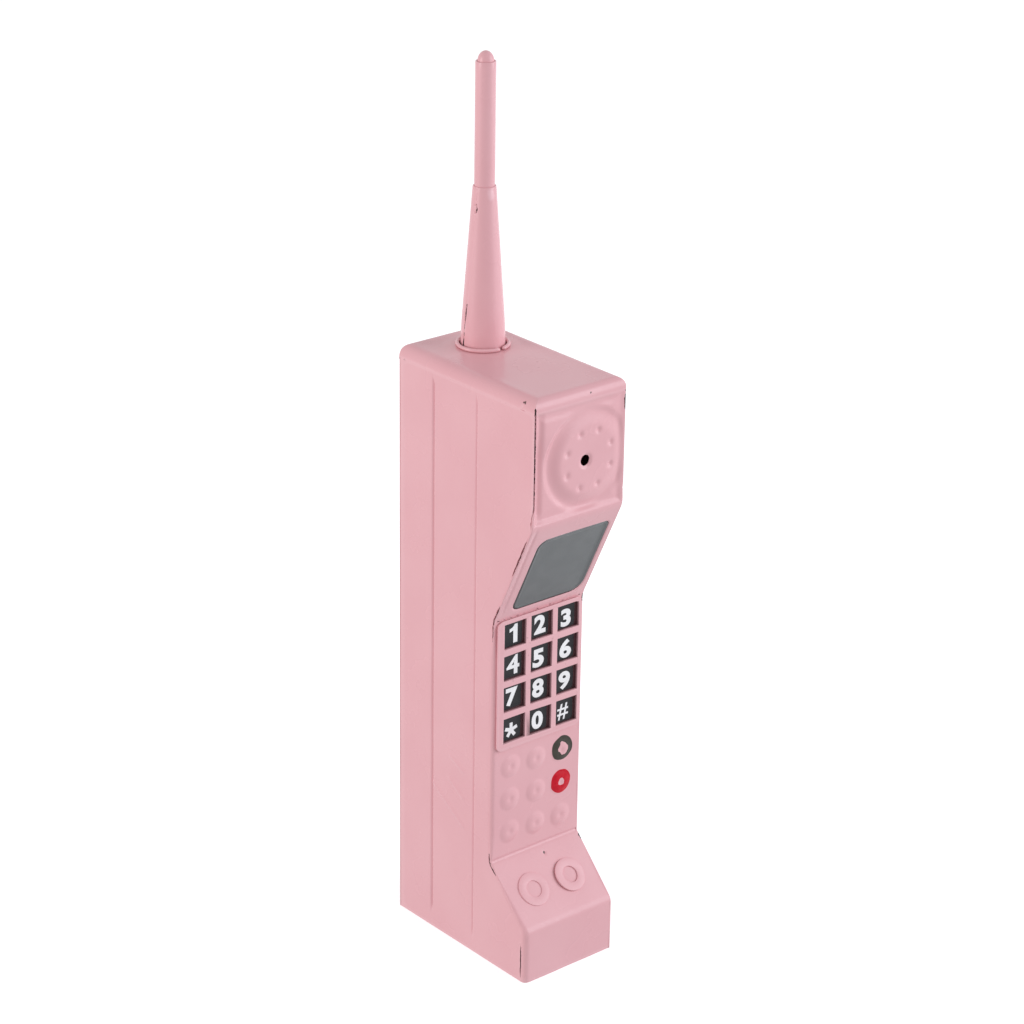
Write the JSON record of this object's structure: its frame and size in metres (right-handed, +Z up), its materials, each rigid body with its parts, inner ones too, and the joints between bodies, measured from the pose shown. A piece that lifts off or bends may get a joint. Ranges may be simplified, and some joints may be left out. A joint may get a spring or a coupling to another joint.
{
  "type": "toy cell phone",
  "caption": "Sheet-metal model of an early brick-shaped mobile phone, with number keys under a raised grid and a lift-out antenna whose mast slides down into its cone.",
  "frame": {"origin": "middle of the base, at the bottom of the object's box", "axes": "+Z up along the antenna, the keypad faces -Y, +X to the right as seen from the front"},
  "size_m": [0.04, 0.071, 0.32],
  "materials": {
    "pink_paint": "glossy pink enamel, sprayed over the assembled sheets",
    "grey_paint": "satin grey paint",
    "number_plate": "satin black with white digits",
    "bare_steel": "plain rolled steel, inside the casing and the antenna"
  },
  "bodies": {
    "casing": {"left_side_panel": "pink_paint", "right_side_panel": "pink_paint", "back_panel": "pink_paint", "top_cap": "pink_paint", "bottom_plate": "pink_paint", "front_upper_panel": "pink_paint", "front_lower_panel": "pink_paint", "display_pane": "grey_paint", "keypad_grid": "pink_paint", "keypad_back_plate": "pink_paint", "key_1": "number_plate", "key_2": "number_plate", "key_3": "number_plate", "key_4": "number_plate", "key_5": "number_plate", "key_6": "number_plate", "key_7": "number_plate", "key_8": "number_plate", "key_9": "number_plate", "key_star": "number_plate", "key_0": "number_plate", "key_hash": "number_plate", "mouth_washer_left": "pink_paint", "mouth_washer_right": "pink_paint", "antenna_socket": "bare_steel"},
    "antenna": {"antenna_cone": "pink_paint", "antenna_ring": "pink_paint"},
    "mast": {"antenna_mast": "pink_paint", "antenna_tip": "pink_paint", "mast_stop": "bare_steel"}
  },
  "joints": [
    {"name": "antenna_lift", "type": "slide", "parent": "casing", "child": "antenna", "axis": [0, 0, 1], "range_m": [0, 0.02]},
    {"name": "mast_slide", "type": "slide", "parent": "antenna", "child": "mast", "axis": [0, 0, 1], "range_m": [-0.038, 0]}
  ]
}
